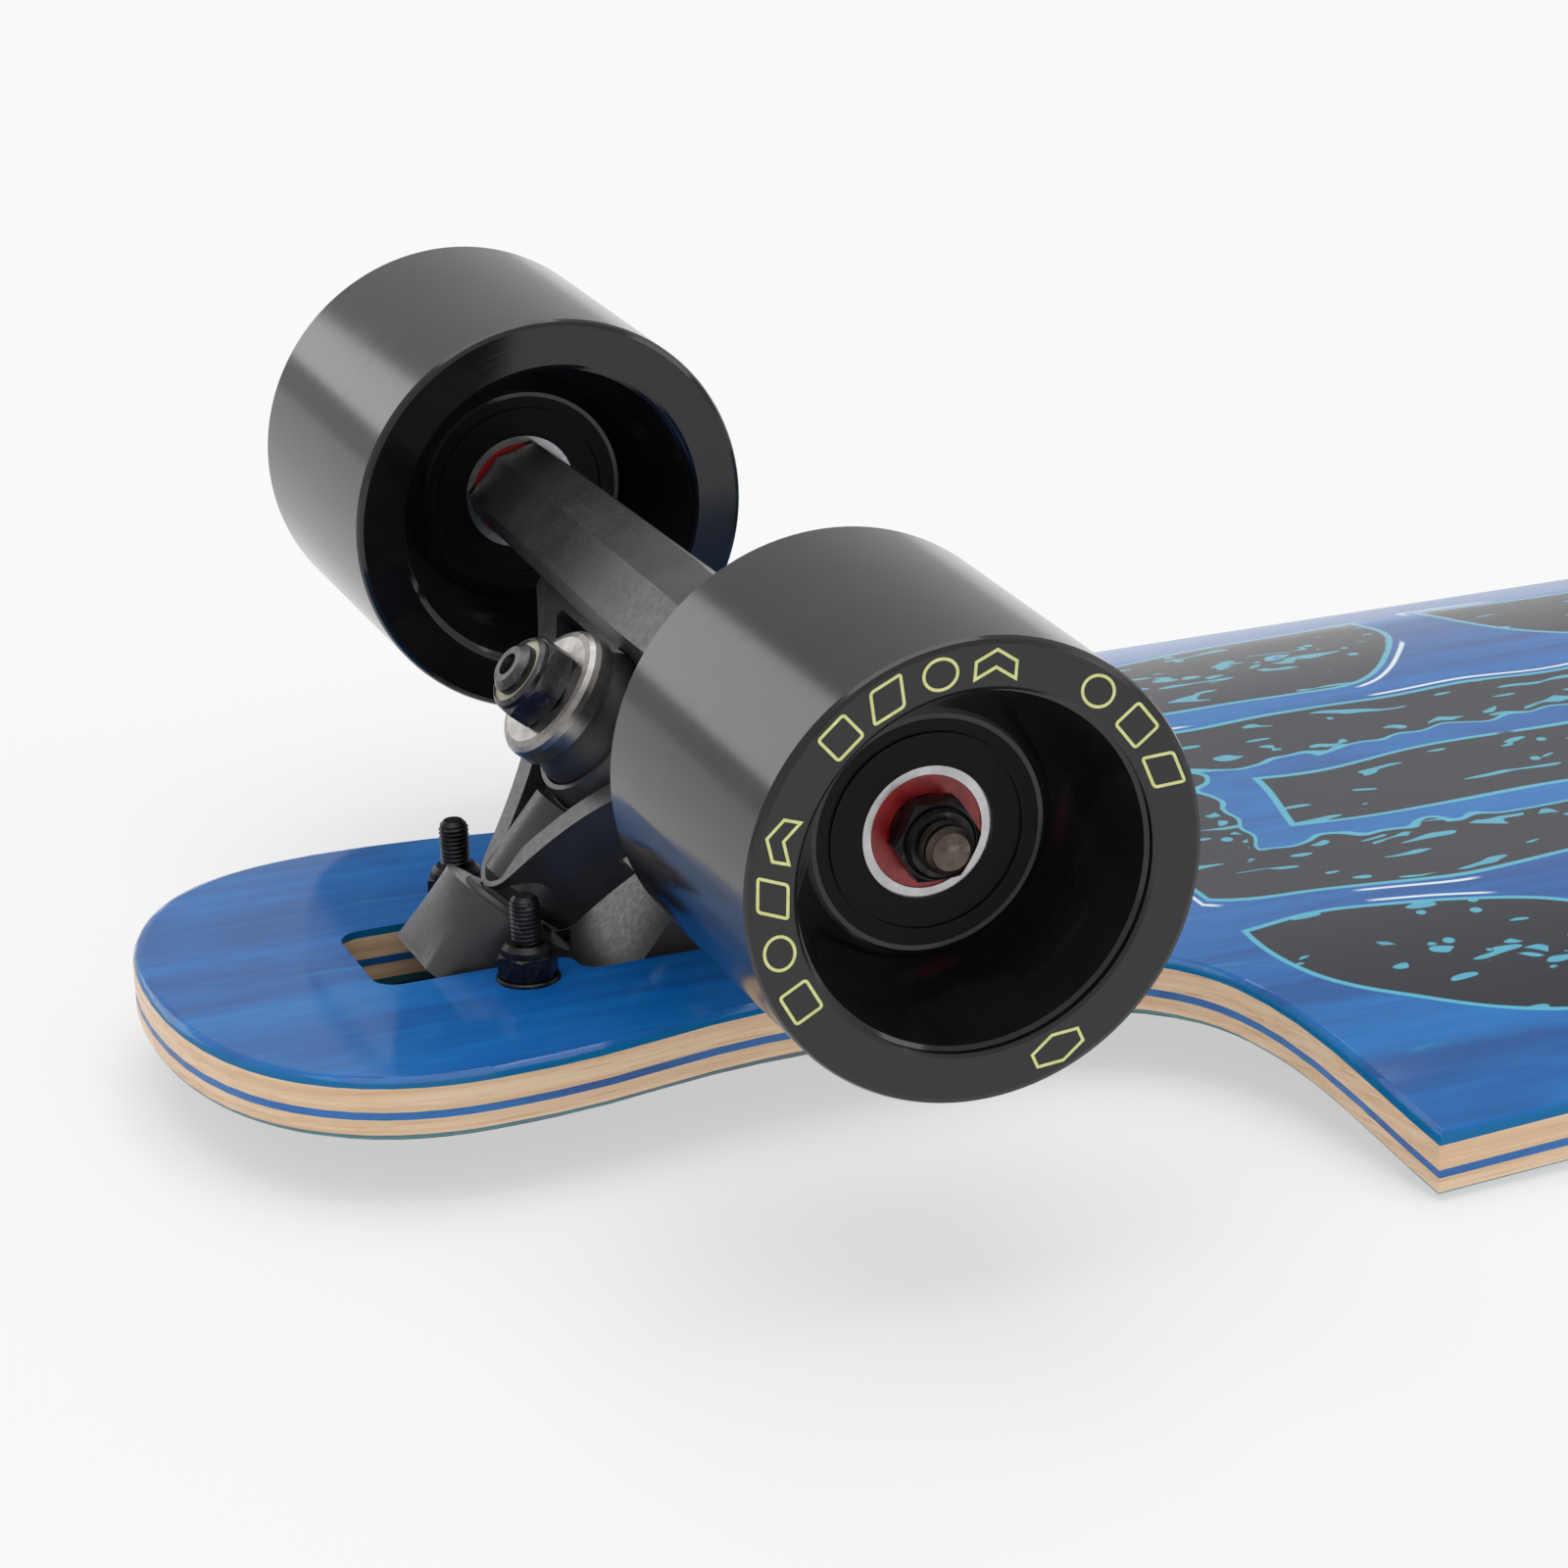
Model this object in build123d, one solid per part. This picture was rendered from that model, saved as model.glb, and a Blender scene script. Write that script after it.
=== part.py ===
from build123d import *
import os
from math import asin, cos, degrees, pi, radians, sin

# Drop-through longboard with two reverse-kingpin trucks, stored belly up: the wheels point
# up and the board rests on the grip-side corners of its platform.
# Millimetres. X runs along the board, Y across it, +Z up. The origin is the bottom centre.

# ---- driving dimensions -------------------------------------------------------------
# deck
wheelbase = 815.0
nose_overhang = 100.5      # axle to the board's tip
platform_half_width = 127.0
waist_half_width = 114.5
nose_half_width = 57.0
neck_half_width = 50.4
ply_thickness = 1.4
ply_count = 8
grip_thickness = 0.8
grip_inset = 3.2
edge_round = 2.2
concave_flat_half = 44.0
concave_radius = 307.8
nose_curve_length = 45.0
nose_fullness = 0.64      # handle length of the nose curves; 0.55 would be an ellipse
neck_start = 5.0          # from the axle towards the board's middle
neck_end = 38.5
well_radius = 37.0
well_sweep = 68.0
corner_offset = 84.0      # platform corner from the axle
corner_lean = 14.5        # degrees off square at the platform corner

# cut-out that the truck drops through, from its own centre
cut_offset = -11.0        # its centre from the axle, towards the nose
cut_length = 104.0
cut_half_width = 13.8
cut_bulge_length = 34.0
cut_bulge_half_width = 21.5
cut_corner = 4.5
cut_step_round = 3.6      # where the narrow ends widen to the bulge
cut_clearance = 1.2

# mounting hardware, 10-32 bolts on the old and new patterns
bolt_spacing_x = 53.8
bolt_spacing_x_long = 63.5
bolt_spacing_y = 41.3
bolt_radius = 2.4
bolt_hole_clearance = 0.35
bolt_standout = 15.4
bolt_head_radius = 4.6
bolt_head_height = 2.6
bolt_nut_flats = 9.5
bolt_nut_rim = 0.7
bolt_nut_height = 4.2
bolt_nut_collar = 1.9
wrench_radius = 7.0       # room round each nut

# truck
axle_above_belly = 52.7
kingpin_angle = 40.0      # kingpin above the deck plane
kingpin_offset = -22.4    # kingpin axis from the axle, along the pivot axis
ring_centre = -4.0        # middle of the hanger ring, along the kingpin
kingpin_radius = 4.76
kingpin_tip = 23.2
kingpin_nut_base = 14.4
kingpin_nut_flats = 14.3
kingpin_nut_height = 5.2
kingpin_nut_collar = 1.5
kingpin_head_height = 6.5
insert_wall = 1.4
insert_depth = 2.1
nut_lip = 0.5
cup_washer_thickness = 2.2
cup_washer_radius = 12.5
cup_skirt = 2.6
bushing_radius = 13.0
bushing_small_radius = 10.2
bushing_gap = 0.3         # a bushing's side stays this far from cup and seat walls
base_plate_gap = 0.05     # kingpin and bolts in their drilled holes
roadside_seat = -1.0
boardside_seat = -7.0
boardside_bushing_height = 14.0
kingpin_boss_depth = 20.0

# hanger
hanger_half_width = 90.0
bar_front = 10.0
bar_back = 11.0
bar_top = 11.0
bar_bottom = 10.0
bar_front_span = (-7.0, 3.4)   # flat of the front side, along the pivot axis
bar_top_span = (-5.5, 4.5)     # flats of the other sides
bar_back_half = 5.0
bar_bottom_span = (-6.0, 5.0)
bar_end_scale = 0.85
face_height = 2.6         # rim of the triangular face, along the kingpin
recess_depth = 4.0
rim_width = 4.6
plate_back = -9.5
arm_back = -13.5
arm_tip = 35.0            # tip of the triangular face below the kingpin
arm_tip_radius = 7.5
strut_reach = 54.0
strut_width = 5.5
window_round = 1.0
ring_radius = 16.0
ring_rim = 3.5            # top of the raised bushing seat, along the kingpin
ring_hole_radius = 7.6
ring_shoulder = 1.8       # slope of the raised seat's side
floor_round = 1.8
pivot_radius = 6.2
pivot_length = 12.0

# baseplate
flange_length = 114.0
flange_half_width = 30.0
flange_thickness = 6.0
flange_corner = 10.0
flange_round = 1.2
housing_top = -58.6       # rim of the pivot cup housing, along the pivot axis
housing_radius = 13.2
housing_foot = -74.5      # foot of the housing, along the pivot axis
housing_foot_front = 10.7
housing_foot_depth = 25.0
housing_half_width = 12.0
housing_corner = 4.0
housing_front_round = 3.0
cup_wall = 3.0
cup_depth = 11.0
cup_gap = 0.1
boss_half_width = 17.0
boss_reach = 30.0
boss_draft = 3.0          # degrees
kingpin_head_gap = 0.4

# axle and wheels
axle_radius = 4.0
axle_half_length = 125.4
axle_nut_flats = 12.7
axle_nut_height = 4.4
axle_nut_collar = 1.3
speed_washer = 1.0
speed_washer_radius = 6.0
bearing_radius = 11.0
bearing_width = 7.0
inner_race_radius = 5.9
outer_race_bore = 9.4
spacer_length = 10.0
spacer_radius = 5.5
ball_radius = 1.85
ball_count = 7
shield_thickness = 0.5
shield_recess = 0.35
shield_gap = 0.2
race_groove_gap = 0.02
wheel_radius = 38.0
wheel_width = 64.0
wheel_lip = 1.6
wheel_edge_round = 1.1
core_radius = 18.8
core_proud = 0.6
core_bore = 9.3
outer_lip_radius = 29.6
inner_lip_radius = 28.9
lip_step = 2.2
outer_recess = 20.9       # bearing face below the wheel's outer face

# ---- derived places -----------------------------------------------------------------
board_length = wheelbase + 2 * nose_overhang
deck_thickness = ply_thickness * ply_count
belly_z = -axle_above_belly
grip_z = belly_z - deck_thickness - grip_thickness
axle_x = wheelbase / 2
kingpin_axis = Vector(-cos(radians(kingpin_angle)), 0, sin(radians(kingpin_angle)))
pivot_axis = Vector(sin(radians(kingpin_angle)), 0, cos(radians(kingpin_angle)))
cup_floor = kingpin_nut_base - cup_washer_thickness
boardside_cup_floor = boardside_seat - boardside_bushing_height
kingpin_seat = boardside_cup_floor - cup_washer_thickness
kingpin_head_seat = kingpin_seat - kingpin_boss_depth
bearing_inner_y = hanger_half_width + speed_washer
bearing_outer_y = bearing_inner_y + 2 * bearing_width + spacer_length
wheel_outer_y = bearing_outer_y + outer_recess
wheel_inner_y = wheel_outer_y - wheel_width
nut_y = bearing_outer_y + speed_washer


def point_on_truck(along_kingpin, along_pivot):
    return kingpin_axis * along_kingpin + pivot_axis * along_pivot


def kingpin_plane(along_kingpin):
    # local Z runs out along the kingpin, local X across the truck, local Y down to the pivot
    return Plane(
        origin=point_on_truck(along_kingpin, kingpin_offset),
        x_dir=(0, 1, 0),
        z_dir=kingpin_axis,
    )


def pivot_plane(along_pivot):
    return Plane(
        origin=point_on_truck(ring_centre, along_pivot),
        x_dir=(0, 1, 0),
        z_dir=pivot_axis,
    )


def side_plane(y):
    # local Z runs out along the axle on either side
    return Plane(origin=(0, y, 0), x_dir=(1, 0, 0), z_dir=(0, 1 if y > 0 else -1, 0))


def turned(points):
    # solid of revolution about local Z from (radius, height) points
    profile = make_face(Polyline(*points, close=True))
    return revolve(Plane.XZ * profile, Axis.Z, 360)


def tube(outer, inner, low, high):
    return turned([(inner, low), (outer, low), (outer, high), (inner, high)])


def hexagon(flats, low, high):
    corner = flats / 2 / cos(pi / 6)
    prism = extrude(Plane.XY.offset(low) * RegularPolygon(flats / 2, 6, major_radius=False), high - low)
    cone_drop = (corner - flats / 2) * 0.6
    shape = turned([
        (0, low),
        (flats / 2, low),
        (corner, low + cone_drop),
        (corner, high - cone_drop),
        (flats / 2, high),
        (0, high),
    ])
    return prism & shape


# ---- deck -----------------------------------------------------------------------------
def concave_layer(depth, thickness):
    # sheet as long as the board, flat in the middle and curved down to both rails
    arc_z = belly_z - concave_radius
    top_radius = concave_radius - depth
    low_radius = top_radius - thickness
    rail_angle = degrees(asin((platform_half_width + 8 - concave_flat_half) / low_radius))
    centre = (concave_flat_half, arc_z)
    top_arc = CenterArc(centre, top_radius, 90 - rail_angle, rail_angle)
    low_arc = CenterArc(centre, low_radius, 90 - rail_angle, rail_angle)
    half = [top_arc, low_arc, Line(top_arc @ 0, low_arc @ 0)]
    other_half = [edge.mirror(Plane.YZ) for edge in half]
    top_flat = Line((-concave_flat_half, arc_z + top_radius), (concave_flat_half, arc_z + top_radius))
    low_flat = Line((-concave_flat_half, arc_z + low_radius), (concave_flat_half, arc_z + low_radius))
    section = make_face(half + other_half + [top_flat, low_flat])
    return extrude(Plane.YZ * section, board_length / 2 + 5, both=True)


def nose_curves(inset):
    # round nose from one side to the tip and on to the other side
    half_width = nose_half_width - inset
    length = nose_curve_length - inset
    widest_x = -board_length / 2 + nose_curve_length
    handle_x = widest_x - nose_fullness * length
    handle_y = nose_fullness * half_width
    first = Bezier(
        (widest_x, -half_width),
        (handle_x, -half_width),
        (widest_x - length, -handle_y),
        (widest_x - length, 0),
    )
    return [first, first.mirror(Plane.XZ)]


def side_curves(inset):
    # from the nose's widest point along the neck and round the wheel well to the platform corner
    widest = Vector(-board_length / 2 + nose_curve_length, nose_half_width - inset)
    neck_top = Vector(-axle_x + neck_start, neck_half_width - inset)
    middle_x = (widest.X + neck_top.X) / 2
    neck_in = Bezier(widest, (middle_x, widest.Y), (middle_x, neck_top.Y), neck_top)
    neck = Line(neck_top, (-axle_x + neck_end, neck_top.Y))
    well = JernArc(neck @ 1, (1, 0), well_radius + inset, well_sweep)
    start = well @ 1
    corner = Vector(-axle_x + corner_offset + inset, platform_half_width - inset)
    handle = (corner - start).length / 3
    lean = Vector(sin(radians(corner_lean)), cos(radians(corner_lean)))
    flare = Bezier(start, start + (well % 1) * handle, corner - lean * handle, corner)
    return [neck_in, neck, well, flare]


def board_outline(inset=0.0):
    corner_x = axle_x - corner_offset - inset
    rail = ThreePointArc(
        (-corner_x, platform_half_width - inset),
        (0, waist_half_width - inset),
        (corner_x, platform_half_width - inset),
    )
    edges = [rail, rail.mirror(Plane.XZ)]
    for edge in nose_curves(inset):
        edges.append(edge)
        edges.append(edge.mirror(Plane.YZ))
    for edge in side_curves(inset):
        edges.append(edge)
        edges.append(edge.mirror(Plane.XZ))
        edges.append(edge.mirror(Plane.YZ))
        edges.append(edge.mirror(Plane.XZ).mirror(Plane.YZ))
    return make_face(edges)


def cut_out(clearance=0.0):
    # the hole the truck drops through, or the truck body's plan when a clearance is taken off
    slot = Rectangle(cut_length - 2 * clearance, 2 * (cut_half_width - clearance))
    bulge = Rectangle(cut_bulge_length - 2 * clearance, 2 * (cut_bulge_half_width - clearance))
    shape = slot + bulge
    ends = shape.vertices().filter_by(lambda v: abs(v.X) > cut_bulge_length / 2)
    shape = fillet(ends, cut_corner)
    steps = shape.vertices().filter_by(lambda v: abs(v.X) < cut_bulge_length / 2 + 0.01)
    step_width = cut_bulge_half_width - cut_half_width
    return fillet(steps, min(cut_step_round, 0.47 * step_width))


def bolt_places(spacing_x):
    places = []
    for x in (-spacing_x / 2, spacing_x / 2):
        for y in (-bolt_spacing_y / 2, bolt_spacing_y / 2):
            places.append((cut_offset + x, y))
    return places


def deck_openings():
    height = 2 * concave_radius
    low = -concave_radius
    cutters = []
    for end in (-1, 1):
        hole = Pos(end * (axle_x - cut_offset), 0, low) * cut_out()
        cutters.append(extrude(hole, height))
        for x, y in bolt_places(bolt_spacing_x):
            bore = Cylinder(bolt_radius + bolt_hole_clearance, height)
            cutters.append(Pos(end * (axle_x - x), y, 0) * bore)
    return cutters


def rim_edges(board, up):
    # outline edges of the belly face (up=1) or the grip face (up=-1)
    found = []
    for face in board.faces():
        if face.normal_at(face.center()).Z * up > 0.9:
            found += face.edges()
    return [edge for edge in found if sum(edge.is_same(other) for other in found) == 1]


def board_blank():
    prism = extrude(Pos(0, 0, -concave_radius) * board_outline(), 2 * concave_radius)
    board = prism & concave_layer(0, deck_thickness)
    board = fillet(rim_edges(board, 1), edge_round)
    board = fillet(rim_edges(board, -1), edge_round)
    return board


def plies():
    blank = board_blank()
    for cutter in deck_openings():
        blank = blank - cutter
    return [blank & concave_layer(i * ply_thickness, ply_thickness) for i in range(ply_count)]


def griptape():
    prism = extrude(Pos(0, 0, -concave_radius) * board_outline(grip_inset), 2 * concave_radius)
    sheet = prism & concave_layer(deck_thickness, grip_thickness)
    for cutter in deck_openings():
        sheet = sheet - cutter
    return sheet


# ---- truck: parts fixed to the deck -----------------------------------------------------
def baseplate():
    flange_top = grip_z
    flange_low = grip_z - flange_thickness
    plate = Pos(cut_offset, 0, flange_low + flange_thickness / 2) * Box(
        flange_length, 2 * flange_half_width, flange_thickness
    )
    plate = fillet(plate.edges().filter_by(Axis.Z), flange_corner)
    plate = fillet(plate.faces().sort_by(Axis.Z)[0].edges(), flange_round)

    # everything inside the deck's cut-out keeps to its plan; above the belly it may overhang
    well = extrude(Pos(cut_offset, 0, flange_top) * cut_out(cut_clearance), belly_z - flange_top + 1)
    above = Pos(0, 0, belly_z + 1) * Box(400, 200, 200, align=(Align.CENTER, Align.CENTER, Align.MIN))
    room = well + above

    # kingpin boss: a slanting block square to the kingpin, long enough to reach the housing
    seat = kingpin_plane(kingpin_seat)
    seat_plan = Pos(0, boss_reach / 2) * Rectangle(2 * boss_half_width, boss_reach)
    seat_plan = seat_plan + Circle(boss_half_width)
    seat_plan = seat_plan + Pos(0, boss_reach) * Ellipse(boss_half_width, boss_half_width * 0.5)
    boss = extrude(seat * seat_plan, -100, taper=-boss_draft)
    boss_back = cut_offset + cut_length / 2 - cut_clearance - flange_round
    keep = Pos(boss_back, 0, 0) * Box(200, 200, 400, align=(Align.MAX, Align.CENTER, Align.CENTER))
    slope = kingpin_plane(kingpin_head_seat - kingpin_head_height)
    slope_block = extrude(slope * Rectangle(300, 300), 200)
    low_block = Pos(0, 0, belly_z + 1) * Box(400, 200, 200, align=(Align.CENTER, Align.CENTER, Align.MAX))
    boss = boss & keep & (slope_block + low_block)

    # pivot housing: round rim square to the pivot axis, spreading to a rounded rectangular foot
    rim = pivot_plane(housing_top) * Circle(housing_radius)
    foot_plan = RectangleRounded(2 * housing_half_width, housing_foot_depth, housing_corner)
    foot_centre = housing_foot_front - housing_foot_depth / 2
    foot = pivot_plane(housing_foot) * (Pos(0, foot_centre) * foot_plan)
    housing = loft([foot, rim])
    front_x = point_on_truck(ring_centre + housing_foot_front, housing_foot).X
    below = Pos(front_x, 0, belly_z) * Box(
        housing_foot_depth, 2 * housing_half_width, belly_z - grip_z, align=(Align.MIN, Align.CENTER, Align.MAX)
    )
    below = fillet(below.edges().filter_by(Axis.Z).group_by(Axis.X)[0], housing_front_round)
    body = (boss + housing + below) & room
    for x, y in bolt_places(bolt_spacing_x):
        wrench_room = Cylinder(wrench_radius, 60, align=(Align.CENTER, Align.CENTER, Align.MIN))
        body = body - Pos(x, y, belly_z) * wrench_room
    above_flange = Pos(0, 0, flange_top - 1) * Box(400, 200, 200, align=(Align.CENTER, Align.CENTER, Align.MIN))
    plate = plate + (body & above_flange)

    cup_hole = turned([
        (0, -cup_depth - cup_wall),
        (pivot_radius + cup_wall, -cup_depth - cup_wall),
        (pivot_radius + cup_wall, 30),
        (0, 30),
    ])
    plate = plate - pivot_plane(housing_top).location * cup_hole
    bore = Cylinder(kingpin_radius + base_plate_gap, 200)
    plate = plate - seat.location * bore
    pocket = extrude(RegularPolygon(kingpin_nut_flats / 2 + kingpin_head_gap, 6, major_radius=False), -120)
    plate = plate - kingpin_plane(kingpin_head_seat).location * pocket
    for spacing in (bolt_spacing_x, bolt_spacing_x_long):
        for x, y in bolt_places(spacing):
            hole = Cylinder(bolt_radius + bolt_hole_clearance, 60)
            plate = plate - Pos(x, y, grip_z) * hole
    return plate


def pivot_cup():
    outer = pivot_radius + cup_wall
    inner = pivot_radius + cup_gap
    shape = turned([
        (0, -cup_depth - cup_wall),
        (outer, -cup_depth - cup_wall),
        (outer, 0),
        (outer - 0.4, 0.8),
        (inner + 0.4, 0.8),
        (inner, 0),
        (inner, -cup_depth),
        (0, -cup_depth),
    ])
    return pivot_plane(housing_top).location * shape


def kingpin():
    length = kingpin_tip - kingpin_head_seat
    shank = turned([
        (0, 0),
        (kingpin_radius, 0),
        (kingpin_radius, length - 1.2),
        (kingpin_radius - 1.2, length),
        (kingpin_radius * 0.45, length),
        (kingpin_radius * 0.35, length - 2.5),
        (0, length - 3),
    ])
    head = hexagon(kingpin_nut_flats, -kingpin_head_height, 0)
    return kingpin_plane(kingpin_head_seat).location * (shank + head)


def kingpin_nut():
    top = kingpin_nut_height + kingpin_nut_collar
    collar_radius = kingpin_nut_flats / 2 - 0.2
    insert_outer = kingpin_radius + insert_wall
    collar = turned([
        (0, 0),
        (collar_radius, 0),
        (collar_radius, top - 0.7),
        (collar_radius - 0.7, top),
        (0, top),
    ])
    nut = hexagon(kingpin_nut_flats, 0, kingpin_nut_height) + collar
    nut = nut - Cylinder(kingpin_radius + race_groove_gap, 60)
    nut = nut - Pos(0, 0, top - insert_depth) * Cylinder(
        insert_outer, insert_depth + 1, align=(Align.CENTER, Align.CENTER, Align.MIN)
    )
    return kingpin_plane(kingpin_nut_base).location * nut


def kingpin_nut_insert():
    top = kingpin_nut_height + kingpin_nut_collar
    insert_outer = kingpin_radius + insert_wall
    ring = tube(insert_outer, kingpin_radius + race_groove_gap, top - insert_depth, top - nut_lip)
    return kingpin_plane(kingpin_nut_base).location * ring


def cup_washer(along_kingpin, facing):
    # pressed steel cup: flat for the nut or boss, rounded shoulder, skirt round the bushing
    t = cup_washer_thickness
    shape = turned([
        (kingpin_radius + race_groove_gap, 0),
        (cup_washer_radius - 2.0, 0),
        (cup_washer_radius - 0.9, -0.3),
        (cup_washer_radius - 0.25, -1.1),
        (cup_washer_radius, -2.2),
        (cup_washer_radius, -t - cup_skirt),
        (cup_washer_radius - 1.4, -t - cup_skirt),
        (cup_washer_radius - 1.4, -t),
        (kingpin_radius + race_groove_gap, -t),
    ])
    if facing < 0:
        shape = Rot(180, 0, 0) * shape
    return kingpin_plane(along_kingpin).location * shape


def roadside_bushing():
    # cone bushing, small end in the cup washer, large end in the hanger's seat
    height = cup_floor - roadside_seat
    inner = kingpin_radius + bushing_gap
    shape = turned([
        (inner, 0),
        (bushing_radius - 0.8, 0),
        (bushing_radius, 0.8),
        (bushing_radius, 5.0),
        (bushing_small_radius + 0.5, height - cup_skirt),
        (bushing_small_radius, height - 0.6),
        (bushing_small_radius - 0.6, height),
        (inner, height),
    ])
    return kingpin_plane(roadside_seat).location * shape


def boardside_bushing():
    # barrel bushing, its neck in the cup washer
    height = boardside_bushing_height
    inner = kingpin_radius + bushing_gap
    neck = cup_washer_radius - 1.4 - bushing_gap
    shape = turned([
        (inner, 0),
        (neck - 0.6, 0),
        (neck, 0.6),
        (neck, cup_skirt),
        (bushing_radius, cup_skirt + 1.5),
        (bushing_radius, height - 0.8),
        (bushing_radius - 0.8, height),
        (inner, height),
    ])
    return kingpin_plane(boardside_cup_floor).location * shape


def mounting_bolt():
    # pan head under the flange, threaded end standing out of the nut
    head_z = grip_z - flange_thickness
    tip_z = belly_z + bolt_standout
    shape = turned([
        (0, head_z - bolt_head_height),
        (bolt_head_radius - 1.4, head_z - bolt_head_height),
        (bolt_head_radius, head_z - bolt_head_height + 1.4),
        (bolt_head_radius, head_z),
        (bolt_radius, head_z),
        (bolt_radius, tip_z - 0.7),
        (bolt_radius - 0.7, tip_z),
        (0, tip_z),
    ])
    for turn in (0, 90):
        slot = Rot(0, 0, turn) * Box(5.0, 1.1, 2.6)
        shape = shape - Pos(0, 0, head_z - bolt_head_height) * slot
    return shape


def mounting_nut():
    base = bolt_nut_rim
    collar_low = base + bolt_nut_height
    top = collar_low + bolt_nut_collar
    corner = bolt_nut_flats / 2 / cos(pi / 6)
    collar_radius = bolt_nut_flats / 2 - 0.3
    rim = turned([(0, 0), (corner + 0.2, 0), (corner + 0.2, base * 0.6), (corner - 0.1, base), (0, base)])
    collar = turned([
        (0, base),
        (collar_radius, base),
        (collar_radius, top - 0.9),
        (collar_radius - 0.9, top),
        (0, top),
    ])
    nut = rim + hexagon(bolt_nut_flats, base, collar_low) + collar
    nut = nut - Cylinder(bolt_radius + race_groove_gap, 60)
    return Pos(0, 0, belly_z) * nut


# ---- truck: parts that steer --------------------------------------------------------------
def bar_section(scale, y):
    points = [
        (bar_front, bar_front_span[0]),
        (bar_front, bar_front_span[1]),
        (bar_top_span[1], bar_top),
        (bar_top_span[0], bar_top),
        (-bar_back, bar_back_half),
        (-bar_back, -bar_back_half),
        (bar_bottom_span[0], -bar_bottom),
        (bar_bottom_span[1], -bar_bottom),
    ]
    plane = Plane(origin=(0, y, 0), x_dir=kingpin_axis, z_dir=(0, 1, 0))
    outline = Polyline(*[(x * scale, z * scale) for x, z in points], close=True)
    return plane * make_face(outline)


def face_outline(inset=0.0):
    # triangular face of the hanger in the kingpin plane: a round tip by the pivot, and two
    # struts that flare out to the bar; inset moves its edges inwards
    tip_centre = arm_tip - arm_tip_radius
    radius = arm_tip_radius - inset
    side_start = Vector(radius * 0.9, tip_centre + radius * 0.436)
    strut_end = Vector(strut_reach, kingpin_offset + bar_bottom + 1.5)
    side = Bezier(
        side_start,
        side_start + Vector(8.0, -16.5),
        Vector(ring_radius + 8.0 - 0.8 * inset, 3.0 - 0.6 * inset),
        strut_end - Vector(0.5 * inset, 0.85 * inset),
    )
    tip = ThreePointArc(side_start, (0, tip_centre + radius), (-side_start.X, side_start.Y))
    bar_line = kingpin_offset + bar_bottom - 6.0 - inset
    end_line = Line(side @ 1, (strut_reach + 4.0 - inset, bar_line))
    top = Line((strut_reach + 4.0 - inset, bar_line), (-strut_reach - 4.0 + inset, bar_line))
    return make_face([side, side.mirror(Plane.YZ), end_line, end_line.mirror(Plane.YZ), top, tip])


def hanger():
    end = bar_section(bar_end_scale, -hanger_half_width)
    middle = bar_section(1.0, 0)
    other_end = bar_section(bar_end_scale, hanger_half_width)
    bar = loft([end, middle], ruled=True) + loft([middle, other_end], ruled=True)

    outline = face_outline()
    plate_plane = kingpin_plane(plate_back)
    plate = extrude(plate_plane * outline, face_height - plate_back)
    lower = outline & Pos(0, 60 + bushing_radius + 4.5) * Rectangle(200, 120)
    arm = extrude(kingpin_plane(arm_back) * lower, plate_back - arm_back + 0.5)
    ring = kingpin_plane(plate_back).location * tube(ring_radius, 1, 0, roadside_seat - plate_back)
    shape = plate + arm

    # windows between each strut, the ring and the bar
    inset = face_outline(strut_width)
    band = Pos(0, kingpin_offset + bar_bottom + 8.5) * Rectangle(200, 14)
    openings = (inset & band) - Circle(ring_radius + 0.8) - Rectangle(2 * ring_radius, 80)
    openings = fillet(openings.vertices(), window_round)
    shape = shape - extrude(kingpin_plane(-40) * openings, 80)

    # sunk floor inside the raised rim
    floor = face_outline(rim_width)
    floor = floor & Pos(0, 30 - 4) * Rectangle(200, 60)
    floor = fillet(floor.vertices().filter_by(lambda v: v.Y < 0), floor_round)
    floor_plane = kingpin_plane(face_height - recess_depth)
    shape = shape - extrude(floor_plane * floor, recess_depth + 1)
    boss = turned([
        (0, plate_back),
        (ring_radius, plate_back),
        (ring_radius, face_height - recess_depth),
        (ring_radius - ring_shoulder, ring_rim),
        (0, ring_rim),
    ])
    shape = shape + kingpin_plane(0).location * boss
    shape = shape + bar + ring

    seat = Cylinder(bushing_radius + bushing_gap, 60, align=(Align.CENTER, Align.CENTER, Align.MIN))
    shape = shape - kingpin_plane(roadside_seat).location * seat
    shape = shape - kingpin_plane(boardside_seat).location * (Rot(180, 0, 0) * seat)
    shape = shape - kingpin_plane(0).location * Cylinder(ring_hole_radius, 100)

    # pivot nose
    nose_low = housing_top - pivot_length + 3.5
    nose = turned([
        (0, nose_low - kingpin_offset - 1.6),
        (pivot_radius - 1.8, nose_low - kingpin_offset - 1.6),
        (pivot_radius, nose_low - kingpin_offset + 0.6),
        (pivot_radius, housing_top + 1.5 - kingpin_offset),
        (pivot_radius + 1.6, housing_top + 4 - kingpin_offset),
        (pivot_radius + 1.6, -ring_radius),
        (0, -ring_radius),
    ])
    shape = shape + pivot_plane(kingpin_offset).location * nose
    axle_bore = Rot(90, 0, 0) * Cylinder(axle_radius, 300)
    return shape - axle_bore


def axle():
    half = axle_half_length
    shape = turned([
        (0, -half),
        (axle_radius - 0.9, -half),
        (axle_radius, -half + 0.9),
        (axle_radius, half - 0.9),
        (axle_radius - 0.9, half),
        (0, half),
    ])
    return Rot(90, 0, 0) * shape


def at_both_ends(shape, y):
    # a part made along +Z, put on the axle at y on both sides
    return [side_plane(y).location * shape, side_plane(-y).location * shape]


def speed_washers():
    ring = tube(speed_washer_radius, axle_radius, 0, speed_washer)
    return at_both_ends(ring, hanger_half_width) + at_both_ends(ring, bearing_outer_y)


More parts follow.
